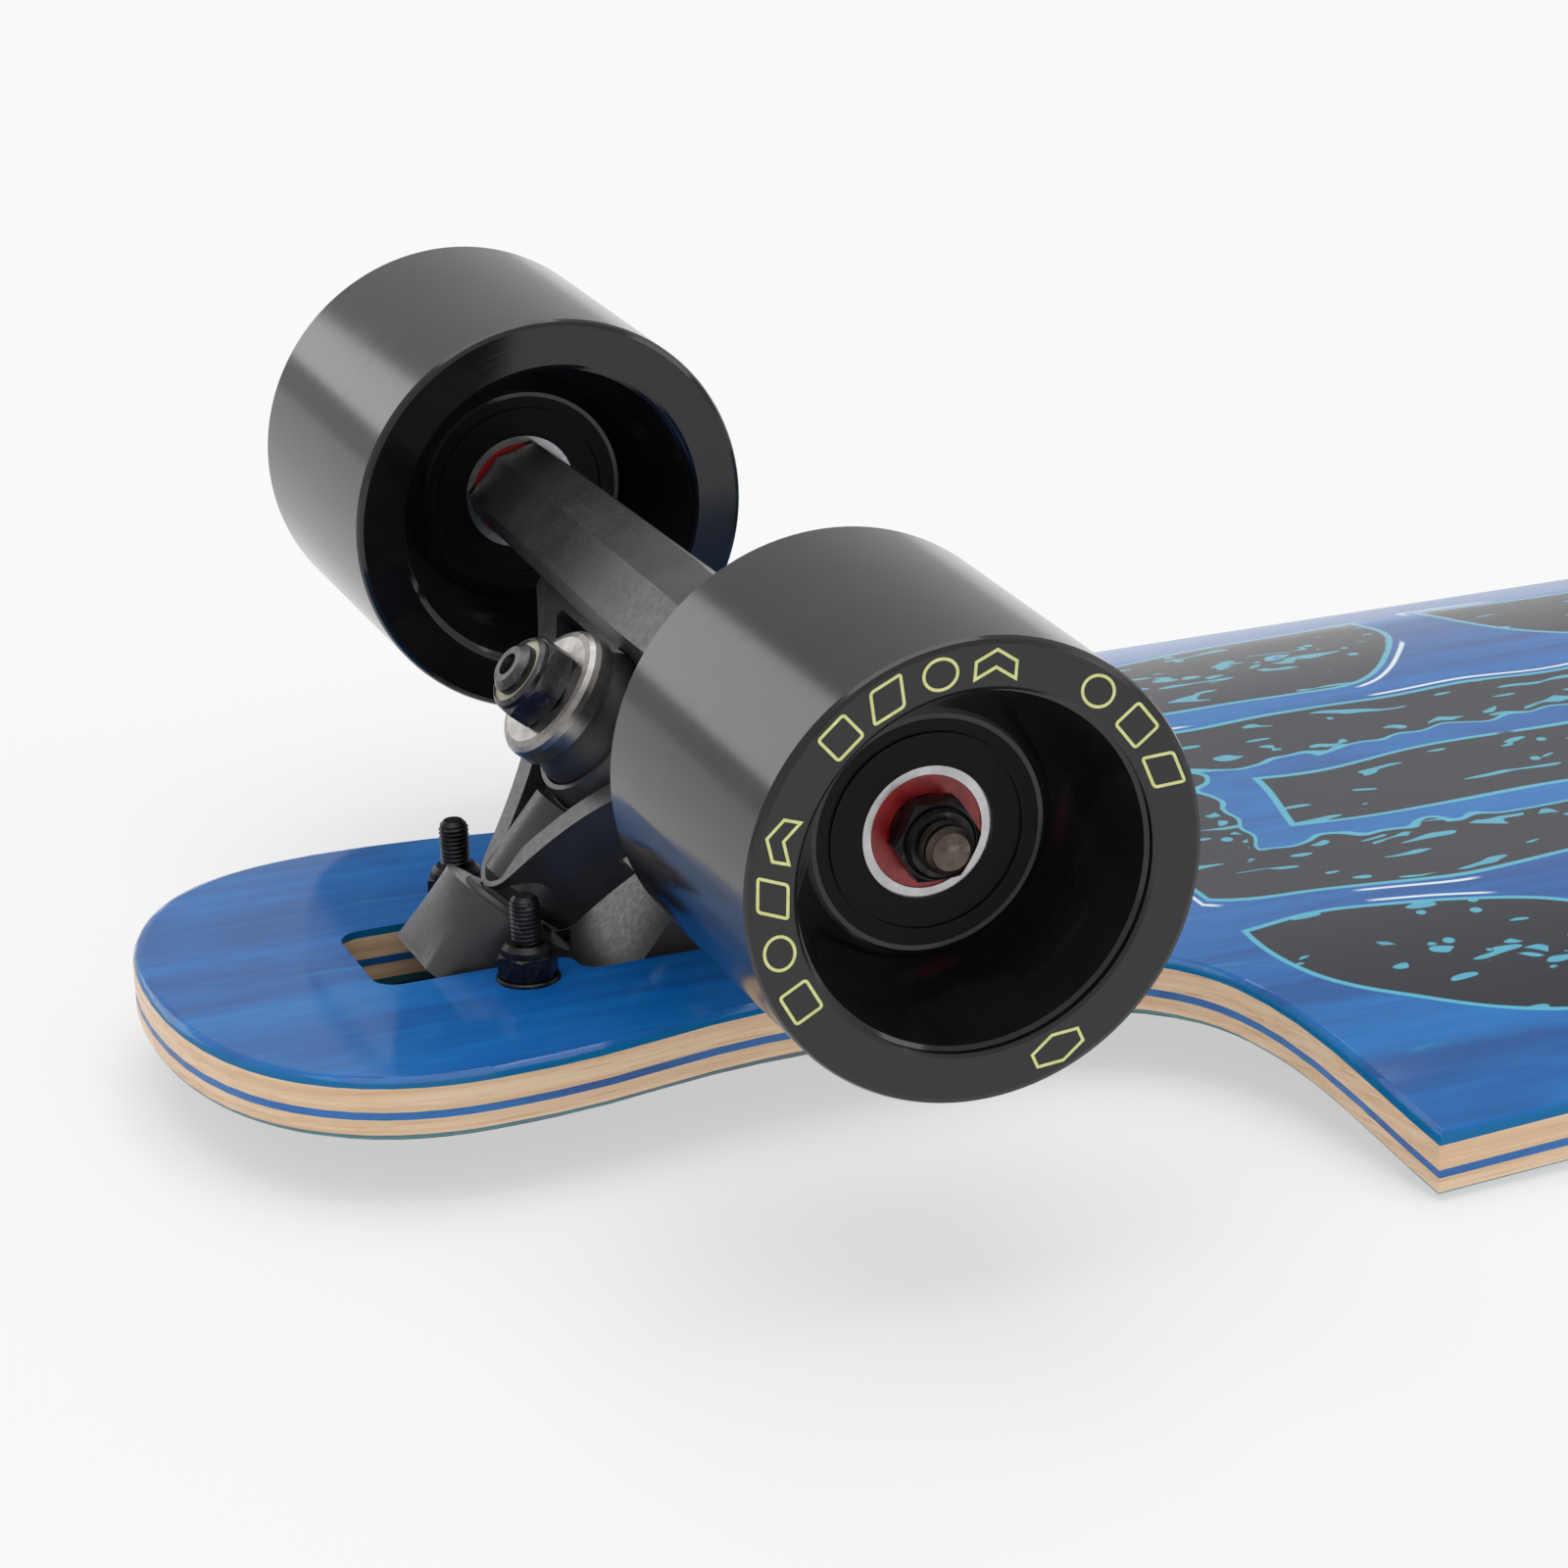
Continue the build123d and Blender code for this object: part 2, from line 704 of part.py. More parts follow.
def axle_nuts():
    top = axle_nut_height + axle_nut_collar
    collar_radius = axle_nut_flats / 2 - 0.4
    collar = turned([
        (0, 0),
        (collar_radius, 0),
        (collar_radius, top - 0.6),
        (collar_radius - 0.6, top),
        (0, top),
    ])
    nut = hexagon(axle_nut_flats, 0, axle_nut_height) + collar
    nut = nut - Cylinder(axle_radius, 60)
    return at_both_ends(nut, nut_y)


def inner_races():
    groove = turned([
        (axle_radius, 0),
        (inner_race_radius, 0),
        (inner_race_radius, bearing_width),
        (axle_radius, bearing_width),
    ])
    pitch = (inner_race_radius + outer_race_bore) / 2
    groove = groove - Pos(0, 0, bearing_width / 2) * Torus(pitch, ball_radius + race_groove_gap)
    far = bearing_outer_y - bearing_width
    return at_both_ends(groove, bearing_inner_y) + at_both_ends(groove, far)


def bearing_spacers():
    ring = tube(spacer_radius, axle_radius, 0, spacer_length)
    return at_both_ends(ring, bearing_inner_y + bearing_width)


# ---- wheel, made on the +Y side with its axis along Y ---------------------------------------
def wheel_bearings_y():
    return [bearing_inner_y, bearing_outer_y - bearing_width]


def on_axle(shape, y=0.0):
    return Plane(origin=(0, y, 0), x_dir=(1, 0, 0), z_dir=(0, 1, 0)).location * shape


def tyre():
    inner_face = wheel_inner_y
    outer_face = wheel_outer_y
    core_outer = bearing_outer_y + core_proud
    core_inner = bearing_inner_y - core_proud
    points = [
        (core_radius, core_inner),
        (core_radius + 0.8, core_inner),
        (inner_lip_radius - 0.7, inner_face + lip_step),
        (inner_lip_radius, inner_face + lip_step - 0.5),
        (inner_lip_radius, inner_face + 0.5),
        (inner_lip_radius + 0.6, inner_face),
        (wheel_radius - wheel_edge_round, inner_face),
        (wheel_radius - 0.32 * wheel_edge_round, inner_face + 0.32 * wheel_edge_round),
        (wheel_radius, inner_face + wheel_edge_round),
        (wheel_radius, outer_face - wheel_edge_round),
        (wheel_radius - 0.32 * wheel_edge_round, outer_face - 0.32 * wheel_edge_round),
        (wheel_radius - wheel_edge_round, outer_face),
        (outer_lip_radius + 0.6, outer_face),
        (outer_lip_radius, outer_face - 0.5),
        (outer_lip_radius, outer_face - lip_step + 0.5),
        (outer_lip_radius - 0.7, outer_face - lip_step),
        (core_radius + 0.8, core_outer),
        (core_radius, core_outer),
    ]
    return on_axle(turned(points))


def core():
    low = bearing_inner_y - core_proud
    high = bearing_outer_y + core_proud
    shape = tube(core_radius, core_bore, low, high)
    for y in wheel_bearings_y():
        start = low if y == bearing_inner_y else y
        length = bearing_width + core_proud
        seat = Pos(0, 0, start) * Cylinder(
            bearing_radius, length, align=(Align.CENTER, Align.CENTER, Align.MIN)
        )
        shape = shape - seat
    for y, step in ((high, 1), (low, -1)):
        ring = tube(core_radius - 2.2, core_radius - 3.0, 0, 0.5)
        shape = shape + Pos(0, 0, y if step > 0 else y - 0.5) * ring
    return on_axle(shape)


def outer_races():
    pitch = (inner_race_radius + outer_race_bore) / 2
    ring = tube(bearing_radius, outer_race_bore, 0, bearing_width)
    ring = ring - Pos(0, 0, bearing_width / 2) * Torus(pitch, ball_radius + race_groove_gap)
    return [on_axle(ring, y) for y in wheel_bearings_y()]


def shields():
    ring = tube(outer_race_bore, inner_race_radius + shield_gap, 0, shield_thickness)
    places = []
    for y in wheel_bearings_y():
        places.append(y + shield_recess)
        places.append(y + bearing_width - shield_recess - shield_thickness)
    return [on_axle(ring, y) for y in places]


def balls():
    pitch = (inner_race_radius + outer_race_bore) / 2
    found = []
    for y in wheel_bearings_y():
        for i in range(ball_count):
            angle = 2 * pi * i / ball_count
            centre = (pitch * cos(angle), y + bearing_width / 2, pitch * sin(angle))
            found.append(Pos(*centre) * Sphere(ball_radius))
    return found


# ---- assembly ---------------------------------------------------------------------------
def as_list(shape):
    return shape if isinstance(shape, list) else [shape]


def at_end(shapes, end):
    # the nose truck (end=-1) is as built; the tail truck is turned half way round
    turn = Rot(0, 0, 0 if end < 0 else 180)
    return [Pos(end * axle_x, 0, 0) * (turn * shape) for shape in as_list(shapes)]


def assembly():
    nodes = {}
    for index, ply in enumerate(plies()):
        nodes[f"deck_ply_{index + 1}"] = [ply]
    nodes["griptape"] = [griptape()]

    fixed = {
        "baseplate": baseplate(),
        "pivot_cup": pivot_cup(),
        "kingpin": kingpin(),
        "kingpin_nut": kingpin_nut(),
        "roadside_cup_washer": cup_washer(kingpin_nut_base, 1),
        "boardside_cup_washer": cup_washer(kingpin_seat, -1),
        "roadside_bushing": roadside_bushing(),
        "boardside_bushing": boardside_bushing(),
        "hanger": hanger(),
        "axle": axle(),
        "speed_washers": speed_washers(),
        "axle_nuts": axle_nuts(),
        "inner_races": inner_races(),
        "bearing_spacers": bearing_spacers(),
    }
    wheel = {
        "tyre": tyre(),
        "core": core(),
        "outer_races": outer_races(),
        "shields": shields(),
        "balls": balls(),
    }
    bolts = []
    nuts = []
    inserts = []
    for end, name in ((-1, "nose"), (1, "tail")):
        for part_name, shapes in fixed.items():
            nodes[f"{name}_{part_name}"] = at_end(shapes, end)
        inserts += at_end(kingpin_nut_insert(), end)
        for x, y in bolt_places(bolt_spacing_x):
            bolts += at_end(Pos(x, y, 0) * mounting_bolt(), end)
            nuts += at_end(Pos(x, y, 0) * mounting_nut(), end)
        for side, side_name in ((1, "left"), (-1, "right")):
            for part_name, shapes in wheel.items():
                turned_shapes = [Rot(0, 0, 0 if side > 0 else 180) * s for s in as_list(shapes)]
                placed = [Pos(end * axle_x, 0, 0) * s for s in turned_shapes]
                nodes[f"{name}_{side_name}_{part_name}"] = placed
    nodes["kingpin_nut_inserts"] = inserts
    nodes["mounting_bolts"] = bolts
    nodes["mounting_nuts"] = nuts
    return nodes


nodes = assembly()
ground = min(shape.bounding_box().min.Z for shapes in nodes.values() for shape in shapes)
os.makedirs("parts", exist_ok=True)
for name, shapes in nodes.items():
    lifted = [Pos(0, 0, -ground) * shape for shape in shapes]
    export_step(Compound(children=[solid for shape in lifted for solid in shape.solids()]), f"parts/{name}.step")
print(f"{len(nodes)} nodes, axle {-ground:.3f} above the floor")
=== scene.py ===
import math

import bpy
from mathutils import Matrix, Vector


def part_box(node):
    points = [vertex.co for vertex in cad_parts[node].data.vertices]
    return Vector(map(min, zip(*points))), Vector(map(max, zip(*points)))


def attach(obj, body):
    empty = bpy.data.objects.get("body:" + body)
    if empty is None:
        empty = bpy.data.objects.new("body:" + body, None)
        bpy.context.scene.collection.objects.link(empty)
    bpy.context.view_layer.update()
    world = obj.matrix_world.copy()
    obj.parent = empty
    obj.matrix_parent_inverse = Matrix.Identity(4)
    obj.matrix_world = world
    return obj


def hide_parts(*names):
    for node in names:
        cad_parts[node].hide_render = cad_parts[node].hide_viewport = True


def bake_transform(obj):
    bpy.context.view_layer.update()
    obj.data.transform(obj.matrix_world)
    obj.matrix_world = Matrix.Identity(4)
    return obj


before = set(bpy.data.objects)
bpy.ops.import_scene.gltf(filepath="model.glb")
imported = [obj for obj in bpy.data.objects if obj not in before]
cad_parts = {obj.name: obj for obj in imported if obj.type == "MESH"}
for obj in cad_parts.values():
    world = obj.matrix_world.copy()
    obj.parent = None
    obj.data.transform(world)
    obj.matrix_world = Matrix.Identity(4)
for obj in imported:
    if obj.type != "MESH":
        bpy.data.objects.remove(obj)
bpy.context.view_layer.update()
print("frame loaded,", len(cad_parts), "parts")

mm = 0.001
axleX = 0.4075  # the nose axle is at minus this, the tail axle at plus this
axleZ = sum(corner.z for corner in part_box("nose_axle")) / 2
axleAboveBelly = 0.0527
bellyZ = axleZ - axleAboveBelly
ends = {"nose": -1, "tail": 1}
sides = {"right": -1, "left": 1}


# shader helpers

class Value:
    # one number in a material; sums written on it add Math nodes
    def __init__(self, finish, socket):
        self.finish = finish
        self.socket = socket

    def __add__(self, other):
        return self.finish.maths("ADD", self, other)

    def __radd__(self, other):
        return self.finish.maths("ADD", other, self)

    def __sub__(self, other):
        return self.finish.maths("SUBTRACT", self, other)

    def __rsub__(self, other):
        return self.finish.maths("SUBTRACT", other, self)

    def __mul__(self, other):
        return self.finish.maths("MULTIPLY", self, other)

    def __rmul__(self, other):
        return self.finish.maths("MULTIPLY", other, self)

    def __truediv__(self, other):
        return self.finish.maths("DIVIDE", self, other)

    def __abs__(self):
        return self.finish.maths("ABSOLUTE", self)

    def least(self, other):
        return self.finish.maths("MINIMUM", self, other)

    def most(self, other):
        return self.finish.maths("MAXIMUM", self, other)

    def rounded(self):
        return self.finish.maths("ROUND", self)

    def root(self):
        return self.finish.maths("SQRT", self)

    def rise(self, low, high, start=0.0, stop=1.0):
        # smooth climb from start to stop between low and high
        node = self.finish.add(
            "ShaderNodeMapRange",
            {"interpolation_type": "SMOOTHSTEP"},
            {"Value": self, "From Min": low, "From Max": high, "To Min": start, "To Max": stop},
        )
        return Value(self.finish, node.outputs[0])


class Finish:
    # a material under construction
    def __init__(self, name, **constants):
        self.material = bpy.data.materials.new(name)
        self.material.use_nodes = True
        self.tree = self.material.node_tree
        self.shader = self.tree.nodes["Principled BSDF"]
        self.object = self.add("ShaderNodeTexCoord").outputs["Object"]
        for name, number in constants.items():
            self.shader.inputs[name].default_value = number

    def add(self, kind, settings=None, sockets=None):
        node = self.tree.nodes.new(kind)
        for name, setting in (settings or {}).items():
            setattr(node, name, setting)
        for name, value in (sockets or {}).items():
            self.join(value, node.inputs[name])
        return node

    def join(self, value, target):
        if isinstance(value, Value):
            value = value.socket
        if isinstance(value, bpy.types.NodeSocket):
            self.tree.links.new(value, target)
        elif target.type == "RGBA":
            target.default_value = (*value, 1)
        else:
            target.default_value = value

    def maths(self, operation, *terms):
        node = self.add("ShaderNodeMath", {"operation": operation}, dict(enumerate(terms)))
        return Value(self, node.outputs[0])

    def axes(self):
        node = self.add("ShaderNodeSeparateXYZ", None, {0: self.object})
        return [Value(self, out) for out in node.outputs]

    def normals(self):
        node = self.add("ShaderNodeNewGeometry")
        split = self.add("ShaderNodeSeparateXYZ", None, {0: node.outputs["Normal"]})
        return [Value(self, out) for out in split.outputs]

    def point(self, x, y, z=0.0):
        node = self.add("ShaderNodeCombineXYZ", None, {"X": x, "Y": y, "Z": z})
        return node.outputs[0]

    def stretched(self, x, y, z, vector=None):
        # Object coordinates, or the given ones, in pattern repeats for each metre
        sockets = {"Vector": vector or self.object, "Scale": (x, y, z)}
        node = self.add("ShaderNodeMapping", None, sockets)
        return node.outputs[0]

    def noise(self, vector, scale=1.0, detail=3.0, roughness=0.5, distortion=0.0):
        sockets = {
            "Vector": vector,
            "Scale": scale,
            "Detail": detail,
            "Roughness": roughness,
            "Distortion": distortion,
        }
        node = self.add("ShaderNodeTexNoise", None, sockets)
        return Value(self, node.outputs[0])

    def cells(self, vector, scale):
        node = self.add("ShaderNodeTexVoronoi", None, {"Vector": vector, "Scale": scale})
        return Value(self, node.outputs["Distance"])

    def mix(self, share, first, second):
        # colours
        node = self.add("ShaderNodeMix", {"data_type": "RGBA"}, {0: share, 6: first, 7: second})
        return node.outputs[2]

    def bump(self, height, distance, strength=1.0):
        sockets = {"Height": height, "Distance": distance, "Strength": strength}
        node = self.add("ShaderNodeBump", None, sockets)
        self.join(node.outputs[0], self.shader.inputs["Normal"])

    def feed(self, **inputs):
        for name, value in inputs.items():
            self.join(value, self.shader.inputs[name.replace("_", " ")])


# deck finishes

stain = {
    "deep": (0.0002, 0.075, 0.29),
    "blue": (0.0003, 0.135, 0.46),
    "bright": (0.003, 0.21, 0.58),
    "wisp": (0.012, 0.30, 0.50),
    "rim": (0.0003, 0.15, 0.33),
    "lacquerRoughness": 0.09,
}


def stainedGrain(finish, colours):
    # long streaks along the board, fine pores and soft cloudy patches
    streaks = finish.noise(finish.stretched(5, 150, 150), 1, 5, 0.62, 0.4)
    pores = finish.noise(finish.stretched(45, 1500, 1500), 1, 2, 0.5)
    clouds = finish.noise(finish.stretched(9, 26, 26), 1, 4, 0.6, 1.2)
    wisps = finish.noise(finish.stretched(11, 70, 70), 1, 4, 0.65, 1.6)
    colour = finish.mix(streaks.rise(0.3, 0.72), colours["deep"], colours["blue"])
    colour = finish.mix(clouds.rise(0.42, 0.72) * 0.6, colour, colours["bright"])
    colour = finish.mix(wisps.rise(0.6, 0.78) * 0.55, colour, colours["wisp"])
    colour = finish.mix(pores.rise(0.56, 0.72) * 0.35, colour, colours["deep"])
    return colour, streaks, pores


graphic = {
    "cellLength": 0.232,  # one nest of bands, with the gap to the next
    "cellWidth": 0.101,
    "halfLength": 0.109,
    "halfWidth": 0.0455,
    "corner": 0.034,
    "bandWidth": 0.0225,
    "slit": 0.0085,
    "navy": (0.005, 0.007, 0.018),
    "cyan": (0.08, 0.44, 0.60),
    "white": (0.75, 0.85, 0.90),
    "line": 0.0006,  # half the outline's width
    "fieldLength": 0.322,  # half lengths of the whole printed area
    "fieldWidth": 0.1,
    "fieldCorner": 0.045,
    "rowShift": 0.43,  # each row starts this share of a cell along
    "wobble": 0.009,
    "sway": 0.022,
    "bend": 0.02,
    "blur": 0.0001,  # half the soft step at a printed edge
    "stroke": 0.00045,
    "strokeOut": 0.0023,
    "scallopIn": 0.0045,
    "scallop": 0.0018,
}


def roundedBox(x, y, halfLength, halfWidth, corner):
    # distance outside a rounded rectangle, negative inside
    alongX = abs(x) - (halfLength - corner)
    alongY = abs(y) - (halfWidth - corner)
    outX = alongX.most(0.0)
    outY = alongY.most(0.0)
    return (outX * outX + outY * outY).root() + alongX.most(alongY).least(0.0) - corner


def bandedPicture(finish, ground):
    # rows of nested dark bands with hand-drawn cyan outlines, flecks and thin white strokes
    g = graphic
    blur = g["blur"]
    x, y, z = finish.axes()
    flat = finish.point(x, y)
    bend = finish.noise(flat, 17, 1, 0.4) - 0.5
    sway = finish.noise(finish.point(y, x, 3.0), 14, 1, 0.4) - 0.5
    wobble = (finish.noise(flat, 125, 0, 0.5) - 0.5) * g["wobble"]
    x = x + sway * g["sway"]
    y = y + bend * g["bend"]
    row = (y / g["cellWidth"]).rounded()
    inRow = y - row * g["cellWidth"]
    shifted = x + row * (g["rowShift"] * g["cellLength"])
    inCell = shifted - (shifted / g["cellLength"]).rounded() * g["cellLength"]
    field = roundedBox(x, y, g["fieldLength"], g["fieldWidth"], g["fieldCorner"])
    cell = roundedBox(inCell, inRow, g["halfLength"], g["halfWidth"], g["corner"])
    depth = cell.most(field)
    wavy = depth + g["bandWidth"] + wobble
    inner = depth + g["bandWidth"] + g["slit"]
    outerBand = depth.rise(blur, -blur) * wavy.rise(-blur, blur)
    core = inner.rise(blur, -blur)
    onField = field.rise(0.006, 0.005)
    dark = outerBand.most(core) * onField
    outline = (abs(depth) - g["line"]).least(abs(wavy) - g["line"])
    outline = outline.least(abs(inner) - g["line"])
    broken = finish.noise(flat, 50, 1, 0.4).rise(0.27, 0.31)
    lines = outline.rise(2 * blur, -2 * blur) * broken * onField
    dashes = finish.noise(finish.stretched(95, 300, 1, flat), 1, 0, 0.4, 0.35)
    dashes = dashes.rise(0.70, 0.71)
    dotted = finish.noise(flat, 40, 1, 0.4).rise(0.52, 0.55)
    dots = finish.cells(flat, 120).rise(0.15, 0.135) * dotted
    edge = (abs(wavy - g["scallopIn"]) - g["scallop"]).rise(4 * blur, -4 * blur)
    scallops = finish.noise(finish.stretched(150, 240, 1, flat), 1, 0, 0.4, 0.4)
    scallops = scallops.rise(0.60, 0.61) * edge
    flecks = dashes.most(dots).most(scallops) * dark
    strokes = (abs(depth - g["strokeOut"]) - g["stroke"]).rise(2 * blur, -2 * blur)
    strokes = strokes * finish.noise(flat, 20, 0, 0.4).rise(0.50, 0.53) * onField
    colour = finish.mix(dark, ground, g["navy"])
    colour = finish.mix(flecks * 0.9, colour, g["cyan"])
    colour = finish.mix(lines, colour, g["cyan"])
    return finish.mix(strokes, colour, g["white"]), dark.most(lines).most(strokes)


def bellyFinish():
    lacquer = {
        "Coat Weight": 1.0,
        "Coat Roughness": stain["lacquerRoughness"],
        "Coat IOR": 1.33,
        "Specular IOR Level": 0.1,
    }
    finish = Finish("bellyStain", **lacquer)
    colour, streaks, pores = stainedGrain(finish, stain)
    tilt = finish.normals()[2].rise(0.93, 0.6)  # the rounded rim, darker where the surface turns away from straight up
    colour = finish.mix(tilt * 0.75, colour, stain["rim"])
    colour, ink = bandedPicture(finish, colour)
    height = streaks * 0.3 + pores * 0.35 + ink * 0.4
    finish.feed(Base_Color=colour, Roughness=0.5 - ink * 0.14 + pores * 0.1)
    finish.bump(height, 0.00004, 0.5)
    return finish.material


def edgeStain(name, colours):
    # a dyed ply: only its sawn edge shows
    finish = Finish(name, **{"Coat Weight": 0.5, "Coat Roughness": 0.25})
    colour, streaks, pores = stainedGrain(finish, colours)
    finish.feed(Base_Color=colour, Roughness=0.52 + pores * 0.15)
    finish.bump(streaks * 0.5 + pores * 0.5, 0.00006, 0.6)
    return finish.material


teal = {
    "deep": (0.004, 0.07, 0.10),
    "blue": (0.012, 0.14, 0.18),
    "bright": (0.03, 0.24, 0.27),
    "wisp": (0.05, 0.28, 0.30),
}

maple = {
    "pale": (0.72, 0.47, 0.27),
    "cream": (0.86, 0.64, 0.43),
    "orange": (0.55, 0.25, 0.09),
    "brown": (0.36, 0.17, 0.07),
}


def mapleFinish():
    finish = Finish("mapleEdge", **{"Coat Weight": 0.45, "Coat Roughness": 0.28})
    layers = finish.noise(finish.stretched(9, 60, 900), 1, 4, 0.6, 0.3)
    streaks = finish.noise(finish.stretched(30, 160, 1700), 1, 3, 0.6)
    fibres = finish.noise(finish.stretched(260, 900, 5200), 1, 2, 0.5)
    colour = finish.mix(layers.rise(0.3, 0.7), maple["pale"], maple["cream"])
    colour = finish.mix(streaks.rise(0.55, 0.76) * 0.8, colour, maple["orange"])
    colour = finish.mix(fibres.rise(0.62, 0.8) * 0.45, colour, maple["brown"])
    finish.feed(Base_Color=colour, Roughness=0.46 + fibres * 0.16)
    finish.bump(streaks * 0.6 + fibres * 0.4, 0.00008, 0.6)
    return finish.material


def gripFinish():
    # black grit on a dark sheet, a few grains glinting
    finish = Finish("gritSheet", **{"Specular IOR Level": 0.4})
    grains = finish.cells(finish.object, 1900)
    clumps = finish.noise(finish.object, 420, 3, 0.6)
    dust = finish.noise(finish.stretched(6, 14, 14), 1, 3, 0.5)
    colour = finish.mix(grains.rise(0.2, 0.75), (0.020, 0.020, 0.021), (0.006, 0.006, 0.006))
    colour = finish.mix(dust.rise(0.5, 0.8) * 0.3, colour, (0.045, 0.043, 0.04))
    finish.feed(Base_Color=colour, Roughness=grains.rise(0.0, 0.5, 0.55, 0.95))
    finish.bump((1 - grains) * 0.7 + clumps * 0.3, 0.0003, 0.9)
    return finish.material


# metal finishes

def paintFinish():
    # satin black paint over a cast surface
    finish = Finish("castingPaint", **{"Coat Weight": 0.25, "Coat Roughness": 0.3})
    cast = finish.noise(finish.object, 900, 3, 0.55)
    rolls = finish.noise(finish.object, 120, 3, 0.5)
    scuffs = finish.noise(finish.stretched(260, 60, 190), 1, 4, 0.7, 0.8)
    colour = finish.mix(rolls.rise(0.3, 0.7), (0.026, 0.026, 0.029), (0.038, 0.038, 0.042))
    colour = finish.mix(scuffs.rise(0.66, 0.74) * 0.5, colour, (0.085, 0.085, 0.09))
    finish.feed(Base_Color=colour, Roughness=cast.rise(0.25, 0.8, 0.33, 0.5))
    finish.bump(cast * 0.6 + rolls * 0.6, 0.00012, 0.5)
    return finish.material


def steelFinish(name, dark, light, wear, rough):
    # bare or blackened steel with rubbed spots
    finish = Finish(name, Metallic=1.0)
    fine = finish.noise(finish.stretched(700, 700, 700), 1, 3, 0.6)
    stains = finish.noise(finish.object, 240, 4, 0.6, 0.5)
    rubbed = finish.noise(finish.object, 520, 3, 0.65)
    colour = finish.mix(stains.rise(0.3, 0.7), dark, light)
    colour = finish.mix(rubbed.rise(0.6, 0.72) * 0.5, colour, wear)
    finish.feed(Base_Color=colour, Roughness=rough + fine * 0.16 - rubbed * 0.06)
    finish.bump(fine, 0.00004, 0.5)
    return finish.material


def shieldFinish():
    # red rubber shield, its red varying softly
    finish = Finish("redShield", **{"Coat Weight": 0.3, "Coat Roughness": 0.25})
    soft = finish.noise(finish.object, 500, 3, 0.5)
    specks = finish.noise(finish.object, 1900, 2, 0.5)
    colour = finish.mix(soft.rise(0.3, 0.7), (0.30, 0.008, 0.010), (0.46, 0.018, 0.018))
    finish.feed(Base_Color=colour, Roughness=0.32 + specks * 0.14)
    finish.bump(soft * 0.5 + specks * 0.5, 0.00005, 0.5)
    return finish.material


def nylonFinish():
    finish = Finish("nylonInsert", **{"Subsurface Weight": 0.15})
    soft = finish.noise(finish.object, 700, 3, 0.5)
    colour = finish.mix(soft, (0.52, 0.44, 0.29), (0.70, 0.62, 0.46))
    finish.feed(Base_Color=colour, Roughness=0.42 + soft * 0.1)
    finish.bump(soft, 0.00004, 0.5)
    return finish.material


def bushingFinish():
    finish = Finish("bushingUrethane", **{"Coat Weight": 0.2, "Coat Roughness": 0.35})
    soft = finish.noise(finish.object, 260, 4, 0.6)
    lines = finish.noise(finish.stretched(900, 300, 900), 1, 2, 0.5)
    colour = finish.mix(soft, (0.008, 0.008, 0.009), (0.02, 0.02, 0.022))
    finish.feed(Base_Color=colour, Roughness=0.4 + lines * 0.14)
    finish.bump(soft * 0.4 + lines * 0.6, 0.00008, 0.5)
    return finish.material


# wheel finishes

wheel = {
    "black": (0.0045, 0.0045, 0.005),
    "charcoal": (0.008, 0.008, 0.0095),
    "dust": (0.02, 0.02, 0.022),
    "radius": 0.038,
    "face": 0.1359,
    "lip": 0.0296,
    "faceDepth": 0.0006,
    "step": 0.0004,
    "treadEdge": 0.0009,
}


def fromAxle(finish):
    # distance from whichever axle is nearer, and the point seen from its middle
    x, y, z = finish.axes()
    x = abs(x) - axleX
    z = z - axleZ
    return (x * x + z * z).root(), x, abs(y), z


def wheelFinish():
    w = wheel
    finish = Finish("wheelUrethane", **{"Specular IOR Level": 0.55, "Coat Weight": 0.0})
    radius, x, y, z = fromAxle(finish)
    # fine lathe lines and broader rings on the faces, bands round the tread
    turned = finish.noise(finish.point(radius * 3200, 0.0), 1, 2, 0.6)
    ringed = finish.noise(finish.point(radius * 420, 0.0, 2.0), 1, 2, 0.5)
    bands = finish.noise(finish.point(y * 260, 5.0), 1, 3, 0.6)
    ripple = finish.noise(finish.point(y * 90, x * 14, z * 14), 1, 3, 0.5)
    cloud = finish.noise(finish.object, 60, 3, 0.6)
    outside = (y - (w["face"] - w["faceDepth"])).rise(0.0, w["step"])
    onFace = outside * (radius - w["lip"]).rise(0.0, w["step"])
    onTread = radius.rise(w["radius"] - w["treadEdge"], w["radius"] - 0.0003)
    colour = finish.mix(cloud.rise(0.35, 0.7), w["black"], w["charcoal"])
    colour = finish.mix(onFace * 0.6, colour, w["charcoal"])
    colour = finish.mix(cloud.rise(0.62, 0.8) * 0.2, colour, w["dust"])
    rough = 0.07 + onFace * 0.13 + onTread * bands * 0.1 + cloud * 0.03
    finish.feed(Base_Color=colour, Roughness=rough)
    grooves = turned * (1 - onTread) * 0.35 + ringed * (1 - onTread) * 0.3
    finish.bump(grooves + onTread * (bands * 0.3 + ripple * 0.5), 0.00005, 0.4)
    return finish.material


def coreFinish():
    finish = Finish("corePlastic", **{"Specular IOR Level": 0.12})
    radius, x, y, z = fromAxle(finish)
    turned = finish.noise(finish.point(radius * 2600, 0.0), 1, 2, 0.6)
    grain = finish.noise(finish.object, 1200, 3, 0.5)
    colour = finish.mix(grain, (0.004, 0.004, 0.005), (0.009, 0.009, 0.010))
    finish.feed(Base_Color=colour, Roughness=0.3 + grain * 0.14)
    finish.bump(turned * 0.5 + grain * 0.5, 0.00005, 0.5)
    return finish.material


def printFinish():
    # pale yellow pad print
    finish = Finish("paleYellowPrint", **{"Specular IOR Level": 0.4})
    thin = finish.noise(finish.object, 800, 3, 0.6)
    colour = finish.mix(thin.rise(0.3, 0.75), (0.66, 0.68, 0.24), (0.80, 0.82, 0.38))
    finish.feed(Base_Color=colour, Roughness=0.38 + thin * 0.14)
    finish.bump(thin, 0.00003, 0.4)
    return finish.material


